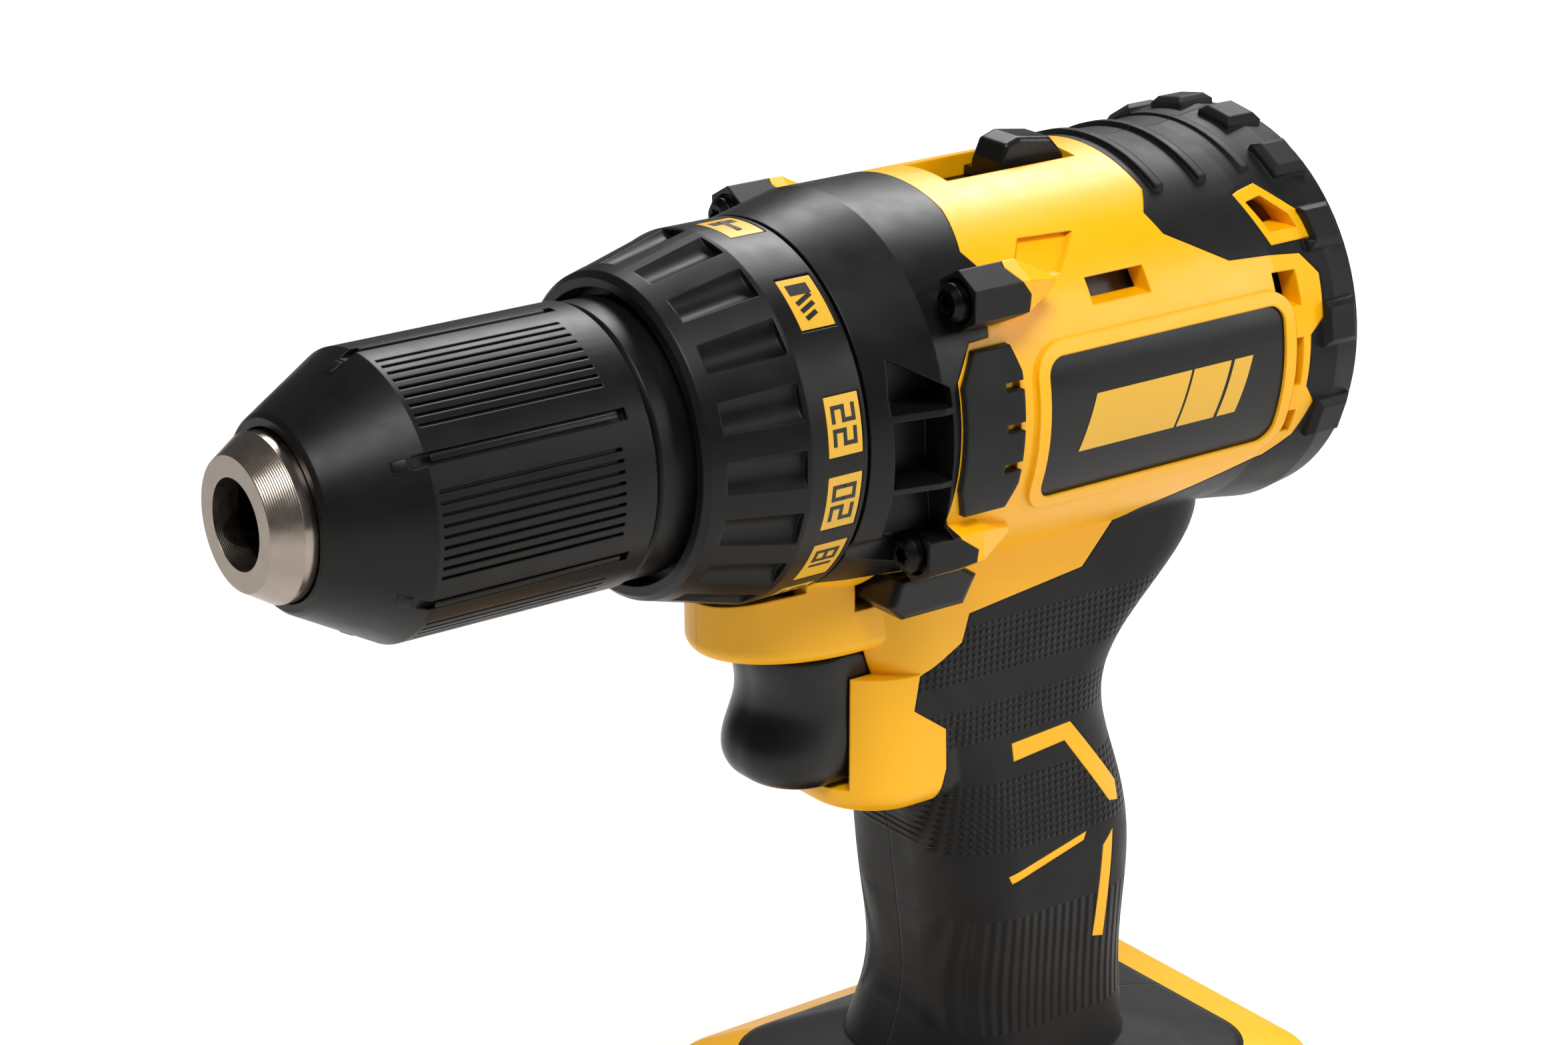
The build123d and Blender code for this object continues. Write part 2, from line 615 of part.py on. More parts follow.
def screw_axis_cuts():
    """Counterbores for the gearcase screws' heads and clear holes for their shanks."""
    cuts = []
    for x, y, z in (UPPER_SCREW, LOWER_SCREW):
        for side in (1, -1):
            cuts.append(Pos(0, side * y, z) * tube(x - 12, x + 1.2, SCREW_HEAD_R + 0.5))
            cuts.append(Pos(0, side * y, z) * tube(x, x + 16, 1.7))
    return cuts


def make_gearcase(form):
    """The black front case: outside shape, window pockets, collar tube and gear bore."""
    outside = form & front_region() & tube(BARREL_FRONT, 118, 60)
    outside += [boss & front_region() for boss in screw_bosses()]
    nose = tube(GEARCASE_FRONT, BARREL_FRONT + 1, GEARCASE_TUBE_R)
    bore = tube(STAGE_2_FRONT - 6.0, 130, GEARCASE_BORE_R)
    bearing_seat = tube(GEARCASE_FRONT + 3, STAGE_2_FRONT - 5, SPINDLE_BEARING_R + 0.03)
    lip = tube(GEARCASE_FRONT - 1, STAGE_2_FRONT, SPINDLE_R + 2.5)
    case = outside + nose - bore - bearing_seat - lip
    window = side_slab(WINDOW, GEARCASE_BORE_R + 4.5, 60)
    ribs = [block((-105, -90), (20, 60), (z - 0.5, z + 0.5)) for z in (4.6, -7.0)]
    cell = window - ribs
    case = case - cell - mirror(cell, about=Plane.XZ)
    return case - screw_axis_cuts() - button_passage()


def cavity():
    """The clamshell's inside: motor bay, handle, trigger bay and foot."""
    inside = tube(BARREL_FRONT - 1, BARREL_REAR - 9.5, MOTOR_BAY_R)
    inside += tube(BARREL_FRONT - 1, BARREL_REAR - REAR_CAP_LENGTH - 0.6, MOTOR_BAY_R - 4.5)
    grip = handle_form(WALL + OVERMOLD)
    grip &= block((-200, -60), (-50, 50), (-GRIP_BAY_BOTTOM, 0))
    trigger_bay = block((-GUARD_FRONT - GUARD_NOSE, -GUARD_FRONT - 10), (-9.5, 9.5), (3.2 - GUARD_BOTTOM, -24.0))
    return inside + grip + trigger_bay


def housing_cuts():
    """Openings through the clamshell."""
    front, rear, width = SELECTOR_SLOT
    slot = block((-rear, -front), (-width / 2, width / 2), (24, 40))
    half = TRIGGER_WIDTH / 2 + 0.4
    trigger = block((-TRIGGER_REAR - 17, -60), (-half, half), (TRIGGER_BOTTOM - 0.5, TRIGGER_TOP + 0.5))
    vents = [block((-x_b, -x_a), (-60, 60), (z_a, z_b)) for x_a, x_b, z_a, z_b in VENTS]
    window = side_slab(VENT_HOLE, -60, 60)
    lamp = Pos(0, 0, LAMP_Z) * tube(FOOT_FRONT - 2, FOOT_FRONT + LAMP_LENGTH + 0.4, LAMP_R + 0.05)
    cap_hole = tube(BARREL_REAR - REAR_CAP_LENGTH - 1.4, BARREL_REAR + 1, REAR_CAP_R + 0.1)
    rail = rail_space(RAIL_CLEARANCE)
    return [slot, trigger, button_passage(), window, lamp, cap_hole, terminal_base(0.05), *vents, *rail]


def button_passage():
    """The opening through both sides for the direction button."""
    front, rear = BUTTON_X
    low, high = BUTTON_Z
    return block((-rear - 0.4, -front + 0.4), (-40, 40), (low - 0.4, high + 0.4))


def rail_space(clearance):
    """The battery's T-shaped rail, or with a clearance the channel in the foot that it slides along."""
    rear = -RAIL_REAR - clearance
    front = -PACK_FRONT - RAIL_SETBACK + (40 if clearance else 0)
    neck, head = RAIL_NECK / 2 + clearance, RAIL_HEAD / 2 + clearance
    top, lip = -RAIL_TOP + clearance, -RAIL_LIP - clearance
    return [block((rear, front), (-neck, neck), (-FOOT_BOTTOM - 1, top)), block((rear, front), (-head, head), (lip, top))]


def plate_plan(side, margin, inner, outer):
    """The nameplate's rounded outline, wider by a margin, between two radii on one side of the barrel."""
    front, rear, low, high = PLATE
    place = Pos(-(front + rear) / 2, 0, (low + high) / 2) * Rot(90, 0, 0)
    plan = RectangleRounded(rear - front + 2 * margin, high - low + 2 * margin, 3.0 + margin)
    prism_through = place * extrude(plan, amount=60, both=True)
    reach = (10, 60) if side > 0 else (-60, -10)
    prism_through &= block((-200, 0), reach, (-60, 60))
    return prism_through & (tube(105, 182, outer) - tube(105, 182, inner))


def facet_cuts():
    """The dished facet on each side of the barrel."""
    ring = tube(105, 165, BARREL_R + 3, BARREL_R - FACET_DEPTH)
    return [side_slab(FACET, *reach) & ring for reach in ((12, 60), (-60, -12))]


def rubber_ribs():
    """Raised ribs across the back's top and the lugs round its rear edge, all in the rubber."""
    ribs = []
    for x in TOP_RIBS:
        band = tube(x, x + 1.6, BARREL_R + RIB_HEIGHT, BARREL_R - 0.8)
        ribs.append(band & block((-200, 0), (-17, 17), (20, 60)))
    middle = -BARREL_REAR + BARREL_REAR_ROUND
    lug_z = (BARREL_R + REAR_FLARE - 1.0, BARREL_R + REAR_FLARE + LUG_HEIGHT)
    lug = block((middle - 3.6, middle + 3.4), (-3.6, 3.6), lug_z)
    lug = chamfer(lug.edges().group_by(Axis.Z)[-1], 1.0)
    for angle in REAR_LUGS:
        turned = Rot(angle - 90, 0, 0) * lug
        ribs += [turned, mirror(turned, about=Plane.XZ)]
    return ribs


def pad_shape(side, inner, outer):
    """A rubber side pad, six-sided in side view, between two radii."""
    front, rear, low, high = PAD
    points = [
        (-front, low + 5), (-front, high - 5), (-front - 3, high), (-rear + 1.4, high),
        (-rear, high - 4), (-rear, low + 4), (-rear + 1.4, low), (-front - 2, low),
    ]
    reach = (10, 60) if side > 0 else (-60, -10)
    return side_slab(points, *reach) & (tube(95, 125, outer) - tube(95, 125, inner))


def pad_grooves():
    """Short grooves in from the rear edge of each side pad."""
    front, rear, low, high = PAD
    return [block((-rear - 1, -rear + 3.4), (-60, 60), (z - 0.7, z + 0.7)) for z in PAD_GROOVES]


def make_shells():
    """Gearcase, clamshell halves, overmoulds, nameplates, side pads and the rear cap."""
    form = outer_form()
    write("gearcase", make_gearcase(form))
    soft = (form - outer_form(OVERMOLD) + rubber_ribs()) & overmold_region()
    soft = soft & block((-400, 0), (-80, 80), (GRIP_BOTTOM, 80))
    shell = form - front_region() - tube(50, BARREL_FRONT + 0.3, COLLAR_BAND_R + 0.9) - soft - facet_cuts()
    shell += [boss - front_region() for boss in screw_bosses()]
    cuts = housing_cuts()
    shell = shell - cavity() - cuts
    soft = soft - cuts
    for side, name in ((1, "left"), (-1, "right")):
        floor = BARREL_R - PLATE_DEPTH
        write(f"{name}_nameplate", plate_plan(side, 0, floor, BARREL_R + 0.2))
        pad = pad_shape(side, BARREL_R - 0.8, BARREL_R + PAD_HEIGHT) - pad_grooves()
        write(f"{name}_side_pad", pad)
        frame = plate_plan(side, PLATE_FRAME, BARREL_R - 1, BARREL_R + PLATE_FRAME_HEIGHT)
        shell = shell + frame - plate_plan(side, 0, floor, BARREL_R + 5)
        shell = shell - pad_shape(side, BARREL_R - 0.8, BARREL_R + 3)
    for x, y, z in (UPPER_SCREW, LOWER_SCREW):
        shell = shell - [Pos(0, side * y, z) * tube(x, x + SCREW_LENGTH + 0.4, 1.7) for side in (1, -1)]
    for name, half in zip(("left", "right"), halves(shell)):
        write(f"{name}_housing", half)
    for name, half in zip(("left", "right"), halves(soft)):
        write(f"{name}_overmold", half)
    cap = tube(BARREL_REAR - REAR_CAP_LENGTH, BARREL_REAR + 0.6, REAR_CAP_R)
    cap += tube(REAR_BEARING[0] - 0.4, BARREL_REAR - REAR_CAP_LENGTH, MOTOR_BEARING_R + 2.4)
    cap -= tube(REAR_BEARING[0] - 1, REAR_BEARING[1] + 0.2, MOTOR_BEARING_R + 0.03)
    slots = [Pos(-BARREL_REAR, 0, z) * Box(12, 22, 2.2) for z in (-9, -3, 3, 9)]
    write("rear_cap", cap - slots)


def make_screws():
    """The four gearcase screws, pan heads with a six-lobed socket."""
    screws = []
    for x, y, z in (UPPER_SCREW, LOWER_SCREW):
        for side in (1, -1):
            head = tube(x - 2.2, x, SCREW_HEAD_R)
            head = chamfer(head.edges().group_by(Axis.X)[-1], 0.9)
            shank = tube(x - 0.2, x + SCREW_LENGTH, 1.5)
            lobes = around(Pos(0, 1.0, 0) * tube(x - 3, x - 0.9, 0.45), 6)
            screws.append(Pos(0, side * y, z) * (head + shank - tube(x - 3, x - 0.9, 1.05) - lobes))
    write("gearcase_screws", *screws)


# ---------------------------------------------------------------- motor
def make_motor():
    """The brushless motor with its fan, board and bearings."""
    front, rear = STATOR
    tooth = block((-rear, -front), (-3.2, 3.2), (STATOR_BORE_R, STATOR_R - 2))
    core = tube(front, rear, STATOR_R, STATOR_R - 3.5) + around(tooth, STATOR_TEETH)
    write("stator", core - tube(front - 1, rear + 1, STATOR_BORE_R))
    coil = block((-rear - 1.0, -front + 1.0), (-6.6, 6.6), (STATOR_BORE_R + 3.0, STATOR_R - 6.0))
    coil -= block((-rear - 0.05, -front + 0.05), (-3.25, 3.25), (0, 60))
    write("windings", *around(coil, STATOR_TEETH))
    write("rotor", tube(front - 1, rear + 1, ROTOR_R, SHAFT_R + 0.02))
    write("motor_shaft", tube(STAGE_1_FRONT + 0.5, REAR_BEARING[1], SHAFT_R))
    for name, (x_a, x_b) in (("motor_front_bearing", FRONT_BEARING), ("motor_rear_bearing", REAR_BEARING)):
        write(name, tube(x_a, x_b, MOTOR_BEARING_R, SHAFT_R + 0.02))
    hub = tube(*FAN, 7.0, SHAFT_R + 0.02) + tube(FAN[0], FAN[0] + 1.2, FAN_R, SHAFT_R + 0.02)
    blade = block((-FAN[1], -FAN[0]), (-0.5, 0.5), (6.0, FAN_R - 0.4))
    write("fan", hub + around(blade, FAN_BLADES))
    write("motor_board", tube(*MOTOR_BOARD, MOTOR_BAY_R - 8, 9.0))
    plate = tube(*MOTOR_PLATE, GEARCASE_BORE_R - 0.2) + tube(MOTOR_PLATE[0], FRONT_BEARING[1], 10.5) - tube(100, 130, SHAFT_R + 2.2)
    write("motor_plate", plate - tube(FRONT_BEARING[0] - 0.03, 130, MOTOR_BEARING_R + 0.03))


# ---------------------------------------------------------------- controls
def make_controls():
    """Speed selector, trigger, switch, direction button and lamp."""
    _, slot_rear, width = SELECTOR_SLOT
    knob_length, knob_width = SELECTOR_KNOB
    low, top = MOTOR_BAY_R - 0.4, SELECTOR_TOP
    rear = -slot_rear + 0.6
    front = rear + knob_length
    knob = side_slab(
        [(rear, low + 1), (rear, top - 3.5), (rear + 2.4, top - 0.9), (rear + 8.6, top),
         (front - 1.2, top - 0.9), (front, top - 3.5), (front, low + 1)],
        -knob_width / 2, knob_width / 2,
    )
    knob = fillet(knob.edges().filter_by(lambda e: e.center().Z > top - 3.9), 0.8)
    sled = block((rear, front), (-width / 2 + 0.4, width / 2 - 0.4), (low, low + 1.6))
    write("gear_selector", knob + sled)
    write("trigger", make_trigger())
    write("switch_module", block((-SWITCH_REAR, -TRIGGER_REAR - TRIGGER_TRAVEL - 1.2), (-9, 9), (-62, -38)))
    write("direction_button", make_direction_button())
    write("lamp_lens", Pos(0, 0, LAMP_Z) * tube(FOOT_FRONT - 0.6, FOOT_FRONT + LAMP_LENGTH, LAMP_R))


def make_trigger():
    """The finger trigger: round in plan, concave down its front, with a stem that reaches the switch."""
    top, low, rear = TRIGGER_TOP, TRIGGER_BOTTOM, -TRIGGER_REAR
    sections = []
    stations = [
        (top, 1.8, 0.0), (top - 6, 2.6, 0.0), (top - 11.5, 1.8, 0.0),
        (low + 5.0, 0.0, 0.4), (low + 1.6, 1.2, 2.4), (low, 5.0, 7.0),
    ]
    for z, setback, narrower in stations:
        length = 2 * (TRIGGER_REAR - TRIGGER_FRONT - setback)
        width = TRIGGER_WIDTH - narrower
        sections.append(Pos(rear, 0, z) * RectangleRounded(length, width, width / 2 - 1.2))
    body = loft(sections) & block((rear, 0), (-TRIGGER_WIDTH, TRIGGER_WIDTH), (low - 1, top + 1))
    stem = block((rear - 0.5, rear + 1), (-4, 4), (-54, -46))
    return body + stem


def make_direction_button():
    """The forward and reverse button, which passes through the housing from side to side."""
    x_high, x_low = BUTTON_X
    z_low, z_high = BUTTON_Z
    bar = block((-x_low + 2, -x_high - 2), (-BUTTON_REACH + BUTTON_TRAVEL, BUTTON_REACH - 5), (z_low + 1, z_high - 1))
    points = [(-x_high, z_low + 2.4), (-x_high - 1.6, z_high), (-x_low + 3.6, z_high), (-x_low, z_high - 2.4),
              (-x_low + 2.6, z_low), (-x_high - 2.6, z_low)]
    left = side_slab(points, 9.0, BUTTON_REACH)
    left = fillet(left.faces().sort_by(Axis.Y)[-1].edges(), 1.2)
    right = side_slab(points, -BUTTON_REACH + BUTTON_TRAVEL, -9.0)
    right = fillet(right.faces().sort_by(Axis.Y)[0].edges(), 1.2)
    return bar + left + right


# ---------------------------------------------------------------- battery
def pack_plan(inset):
    middle = -(PACK_FRONT + PACK_REAR) / 2
    length = PACK_REAR - PACK_FRONT - 2 * inset
    return Pos(middle, 0, 0) * RectangleRounded(length, PACK_WIDTH - 2 * inset, PACK_CORNER - inset)


def pack_layer(low, high, inset=0.0):
    """A layer of the battery's plan between two depths below the spindle's axis."""
    return Pos(0, 0, -low) * extrude(pack_plan(inset), amount=low - high)


def terminal_base(clearance=0.0):
    """The insulator that carries the contact blades, or with a clearance the pocket it sits in."""
    front, rear = BLADE_X
    roof = -RAIL_TOP + RAIL_CLEARANCE
    sides = (-14 - clearance, 14 + clearance)
    return block((-rear - 1 - clearance, -front + 1 + clearance), sides, (roof - clearance, roof + 2 + clearance))


def blade_rows():
    """Where the contact blades stand across the tool."""
    return [(n - (BLADES - 1) / 2) * BLADE_PITCH for n in range(BLADES)]


def make_battery():
    """The slide-on battery: two case halves, five cells, terminals and a latch."""
    top = FOOT_BOTTOM + PACK_GAP
    half = BLADE_THICKNESS / 2
    lid = pack_layer(PACK_SPLIT, top) - pack_layer(PACK_SPLIT + 1, top + PACK_WALL, PACK_WALL)
    latch_gap = block((-PACK_FRONT - 8, -PACK_FRONT + 1), (-14, 14), (-PACK_SPLIT - 1, -top - 3.0))
    rail = [part - block((-400, 0), (-80, 80), (-200, -top - 0.01)) for part in rail_space(0)]
    slot_x, slot_z = (-RAIL_REAR - 1, -BLADE_X[0] + 1), (-top + 1.2, -RAIL_TOP + 1)
    slots = [block(slot_x, (y - 1.0, y + 1.0), slot_z) for y in blade_rows()]
    write("battery_top_case", lid + rail - latch_gap - slots)
    base = pack_layer(PACK_BOTTOM, PACK_SPLIT) - pack_layer(PACK_BOTTOM - PACK_WALL, PACK_SPLIT - 1, PACK_WALL)
    base = chamfer(base.edges().group_by(Axis.Z)[0], 1.2)
    write("battery_bottom_case", base)
    pitch = 2 * CELL_R + CELL_GAP
    middle = -(PACK_FRONT + PACK_REAR) / 2
    depth = -(PACK_BOTTOM - PACK_WALL - CELL_R - 1.0)
    cell = Rot(90, 0, 0) * Cylinder(CELL_R, CELL_LENGTH)
    row = [middle + (n - (CELLS - 1) / 2) * pitch for n in range(CELLS)]
    write("battery_cells", *[Pos(x, 0, depth) * cell for x in row])
    latch = block((-PACK_FRONT - 7.6, -PACK_FRONT + 0.6), (-13.6, 13.6), (-PACK_SPLIT + 0.4, -top - 3.4))
    write("battery_latch", fillet(latch.edges().filter_by(Axis.Y), 1.0))
    height = (-FOOT_BOTTOM + 1.8, -RAIL_TOP + 1)
    blades = [block((-BLADE_X[1], -BLADE_X[0]), (y - half, y + half), height) for y in blade_rows()]
    write("terminal_block", terminal_base() + blades)


os.makedirs("parts", exist_ok=True)
make_chuck()
write("torque_collar", make_collar())
make_gearbox()
make_motor()
make_shells()
make_screws()
make_controls()
make_battery()
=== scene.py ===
import math

import bpy
from mathutils import Matrix, Vector


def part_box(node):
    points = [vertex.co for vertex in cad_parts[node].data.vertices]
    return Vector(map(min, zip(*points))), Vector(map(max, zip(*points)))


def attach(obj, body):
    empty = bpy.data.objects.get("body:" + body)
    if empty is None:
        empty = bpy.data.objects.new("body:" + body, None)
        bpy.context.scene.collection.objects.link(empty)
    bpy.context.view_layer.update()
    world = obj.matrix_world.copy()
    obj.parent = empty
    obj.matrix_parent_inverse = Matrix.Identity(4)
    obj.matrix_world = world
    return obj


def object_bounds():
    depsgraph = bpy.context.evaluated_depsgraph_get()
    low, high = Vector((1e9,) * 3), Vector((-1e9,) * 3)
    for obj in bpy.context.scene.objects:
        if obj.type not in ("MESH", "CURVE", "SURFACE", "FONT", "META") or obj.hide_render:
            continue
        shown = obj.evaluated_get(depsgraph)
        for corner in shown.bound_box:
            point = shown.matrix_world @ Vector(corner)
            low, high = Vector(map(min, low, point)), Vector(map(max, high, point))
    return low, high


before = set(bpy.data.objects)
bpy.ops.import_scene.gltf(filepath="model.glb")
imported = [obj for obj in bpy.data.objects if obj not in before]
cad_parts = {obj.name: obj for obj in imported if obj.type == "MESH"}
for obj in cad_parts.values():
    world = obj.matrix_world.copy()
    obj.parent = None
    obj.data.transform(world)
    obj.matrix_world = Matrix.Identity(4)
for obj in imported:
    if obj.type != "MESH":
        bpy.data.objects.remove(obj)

bl_info = {
    "name": "Cordless Drill Looks",
    "version": (1, 0, 0),
    "blender": (4, 5, 0),
    "location": "View3D > Sidebar > Drill",
    "description": "Adds the marks, trims, finishes and studio round the packed drill",
    "category": "Object",
}

CAD_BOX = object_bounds()
MM = 0.001


# ---------------------------------------------------------------- settings
def linear(hex_colour):
    """A scene colour from an sRGB hex code."""
    channels = [int(hex_colour[n:n + 2], 16) / 255 for n in (1, 3, 5)]
    return tuple(c / 12.92 if c <= 0.04045 else ((c + 0.055) / 1.055) ** 2.4 for c in channels)


class DrillColours(bpy.types.PropertyGroup):
    """The colours that a user would change."""
    housing: bpy.props.FloatVectorProperty(
        name="Housing", description="Moulded colour of the clamshell", subtype="COLOR", size=3,
        default=linear("#FFB800"))
    black: bpy.props.FloatVectorProperty(
        name="Black nylon", description="Colour of the chuck sleeve, collar and gearcase",
        subtype="COLOR", size=3,
        default=linear("#0F0E0D"))
    rubber: bpy.props.FloatVectorProperty(
        name="Rubber", description="Colour of the soft overmoulding", subtype="COLOR", size=3,
        default=linear("#100F0F"))
    marks: bpy.props.FloatVectorProperty(
        name="Printed fields", description="Colour of the fields round the collar", subtype="COLOR", size=3,
        default=linear("#E6B12E"))


class DrillSizes(bpy.types.PropertyGroup):
    """The sizes of the trims that a user would change."""
    collar_radius: bpy.props.FloatProperty(
        name="Collar band radius", description="Radius of the flat band that carries the fields",
        unit="LENGTH",
        default=28.9 * MM)
    field_length: bpy.props.FloatProperty(
        name="Field length", description="Size of a printed field along the tool", unit="LENGTH",
        default=6.1 * MM)
    digit_height: bpy.props.FloatProperty(
        name="Digit height", description="Height of the collar's numbers", unit="LENGTH", default=4.3 * MM)
    edge_round: bpy.props.FloatProperty(
        name="Edge rounding", description="Radius that moulded edges show", unit="LENGTH", default=0.45 * MM)


# ---------------------------------------------------------------- materials
def add_node(tree, kind, settings=None, inputs=None):
    """Adds a node, sets its properties, and gives its inputs values or links from other nodes' outputs."""
    node = tree.nodes.new(kind)
    for name, value in (settings or {}).items():
        setattr(node, name, value)
    for name, value in (inputs or {}).items():
        if isinstance(value, bpy.types.NodeSocket):
            tree.links.new(value, node.inputs[name])
        else:
            node.inputs[name].default_value = value
    return node


def start_material(name):
    """An empty material's node tree, with its object coordinates."""
    material = bpy.data.materials.get(name) or bpy.data.materials.new(name)
    material.use_nodes = True
    material.node_tree.nodes.clear()
    place = add_node(material.node_tree, "ShaderNodeTexCoord").outputs["Object"]
    return material, material.node_tree, place


def wave_scale(period):
    """The Wave texture's scale for bands a real distance apart."""
    return 2 * math.pi / (20 * period)


def end_material(material, tree, shader):
    add_node(tree, "ShaderNodeOutputMaterial", None, {"Surface": shader.outputs["BSDF"]})
    return material


def moulded_surface(tree, place, grain, depth, rounding):
    """The normal of a moulded surface: soft edges under the fine grain that a spark-eroded mould leaves."""
    soft = add_node(tree, "ShaderNodeBevel", {"samples": 6}, {"Radius": rounding})
    speckle = add_node(tree, "ShaderNodeTexNoise", None, {"Vector": place, "Scale": 1 / grain, "Detail": 2.0})
    bump = add_node(tree, "ShaderNodeBump", None, {
        "Height": speckle.outputs[0], "Strength": 0.5, "Distance": depth, "Normal": soft.outputs["Normal"]})
    return bump.outputs["Normal"]


def mottled(tree, place, base, shade, size):
    """A base colour that drifts by a little over the surface, as pigment and handling leave it."""
    drift = add_node(tree, "ShaderNodeTexNoise", None, {"Vector": place, "Scale": 1 / size, "Detail": 3.0})
    mix = add_node(tree, "ShaderNodeMix", {"data_type": "RGBA"}, {
        "Factor": drift.outputs[0], 6: (*base, 1.0), 7: (*[c * shade for c in base], 1.0)})
    return mix.outputs[2]


def ranged(tree, place, size, low, high):
    """A value that drifts between two limits over patches of a real size."""
    drift = add_node(tree, "ShaderNodeTexNoise", None, {"Vector": place, "Scale": 1 / size, "Detail": 3.0})
    spread = add_node(tree, "ShaderNodeMapRange", None, {
        "Value": drift.outputs[0], "From Min": 0.3, "From Max": 0.7, "To Min": low, "To Max": high})
    return spread.outputs["Result"]


def moulded_plastic(name, base, roughness, grain, depth, rounding, specular=0.5):
    """Injection-moulded plastic: even pigment, a fine mould grain and softly rounded edges."""
    material, tree, place = start_material(name)
    # The eye sees a flat colour that is never quite even, with a broad satin highlight.
    shader = add_node(tree, "ShaderNodeBsdfPrincipled", None, {
        "Base Color": mottled(tree, place, base, 0.93, 0.02),
        "Roughness": ranged(tree, place, 0.006, roughness - 0.04, roughness + 0.05),
        "Normal": moulded_surface(tree, place, grain, depth, rounding), "Specular IOR Level": specular,
    })
    return end_material(material, tree, shader)


def grip_rubber(name, base, rounding):
    """Soft moulded rubber with small pips on the grip and ribs lower down."""
    material, tree, place = start_material(name)
    axes = add_node(tree, "ShaderNodeSeparateXYZ", None, {"Vector": place})
    pip = 1.25 * MM
    across = add_node(tree, "ShaderNodeTexWave", {"bands_direction": "X"}, {
        "Vector": place, "Scale": wave_scale(pip)})
    down = add_node(tree, "ShaderNodeTexWave", {"bands_direction": "Z"}, {
        "Vector": place, "Scale": wave_scale(pip)})
    pips = add_node(tree, "ShaderNodeMath", {"operation": "MULTIPLY"}, {
        0: across.outputs["Fac"], 1: down.outputs["Fac"]})
    ribs = add_node(tree, "ShaderNodeTexWave", {"bands_direction": "X"}, {
        "Vector": place, "Scale": wave_scale(1.7 * MM)})
    # Pips cover three bands of the grip, and ribs the part under them.
    patch = None
    for low, high in ((-47.0, -38.0), (-58.5, -52.0), (-79.0, -66.0)):
        above = add_node(tree, "ShaderNodeMath", {"operation": "GREATER_THAN"}, {
            0: axes.outputs["Z"], 1: low * MM})
        below = add_node(tree, "ShaderNodeMath", {"operation": "LESS_THAN"}, {
            0: axes.outputs["Z"], 1: high * MM})
        band = add_node(tree, "ShaderNodeMath", {"operation": "MULTIPLY"}, {
            0: above.outputs[0], 1: below.outputs[0]})
        patch = band.outputs[0] if patch is None else add_node(
            tree, "ShaderNodeMath", {"operation": "MAXIMUM"}, {0: patch, 1: band.outputs[0]}).outputs[0]
    under = add_node(tree, "ShaderNodeMath", {"operation": "LESS_THAN"}, {
        0: axes.outputs["Z"], 1: -91.0 * MM})
    over = add_node(tree, "ShaderNodeMath", {"operation": "GREATER_THAN"}, {
        0: axes.outputs["Z"], 1: -112.0 * MM})
    lower = add_node(tree, "ShaderNodeMath", {"operation": "MULTIPLY"}, {
        0: under.outputs[0], 1: over.outputs[0]})
    relief = add_node(tree, "ShaderNodeMath", {"operation": "MULTIPLY"}, {0: pips.outputs[0], 1: patch})
    ribbed = add_node(tree, "ShaderNodeMath", {"operation": "MULTIPLY"}, {
        0: ribs.outputs["Fac"], 1: lower.outputs[0]})
    height = add_node(tree, "ShaderNodeMath", {"operation": "ADD"}, {
        0: relief.outputs[0], 1: ribbed.outputs[0]})
    grain = moulded_surface(tree, place, 0.35 * MM, 0.02 * MM, rounding)
    bump = add_node(tree, "ShaderNodeBump", None, {
        "Height": height.outputs[0], "Strength": 1.0, "Distance": 0.35 * MM, "Normal": grain})
    # The eye sees a duller black than the nylon, greyer where dust and wear catch the tops.
    shader = add_node(tree, "ShaderNodeBsdfPrincipled", None, {
        "Base Color": mottled(tree, place, base, 0.8, 0.012),
        "Roughness": ranged(tree, place, 0.008, 0.44, 0.56),
        "Normal": bump.outputs["Normal"],
        "Sheen Weight": 0.03, "Sheen Roughness": 0.5, "Specular IOR Level": 0.22,
    })
    return end_material(material, tree, shader)


def turned_steel(name, base, roughness, pitch, depth):
    """Steel turned on a lathe: coarse rings on the nose's cone and a fine polished band behind it."""
    material, tree, place = start_material(name)
    axes = add_node(tree, "ShaderNodeSeparateXYZ", None, {"Vector": place})
    band = add_node(tree, "ShaderNodeMapRange", None, {
        "Value": axes.outputs["X"], "From Min": -4.3 * MM, "From Max": -4.0 * MM,
        "To Min": 0.0, "To Max": 1.0})
    rings = add_node(tree, "ShaderNodeTexWave", {"bands_direction": "X"}, {
        "Vector": place, "Scale": wave_scale(pitch), "Distortion": 0.25, "Detail": 1.0, "Detail Scale": 2.0})
    feed = add_node(tree, "ShaderNodeMath", {"operation": "MULTIPLY"}, {
        0: rings.outputs["Fac"], 1: band.outputs["Result"]})
    soft = add_node(tree, "ShaderNodeBevel", {"samples": 6}, {"Radius": 0.12 * MM})
    bump = add_node(tree, "ShaderNodeBump", None, {
        "Height": feed.outputs[0], "Strength": 0.7, "Distance": depth, "Normal": soft.outputs["Normal"]})
    patches = ranged(tree, place, 0.002, roughness - 0.03, roughness + 0.05)
    coarse = add_node(tree, "ShaderNodeMath", {"operation": "MULTIPLY_ADD"}, {
        0: band.outputs["Result"], 1: 0.1, 2: patches})
    # The eye sees bright rings on the cone, a mirror-like band behind them, and a warm oiled tint.
    shader = add_node(tree, "ShaderNodeBsdfPrincipled", None, {
        "Base Color": mottled(tree, place, base, 0.86, 0.004),
        "Roughness": coarse.outputs[0],
        "Normal": bump.outputs["Normal"], "Metallic": 1.0,
    })
    return end_material(material, tree, shader)


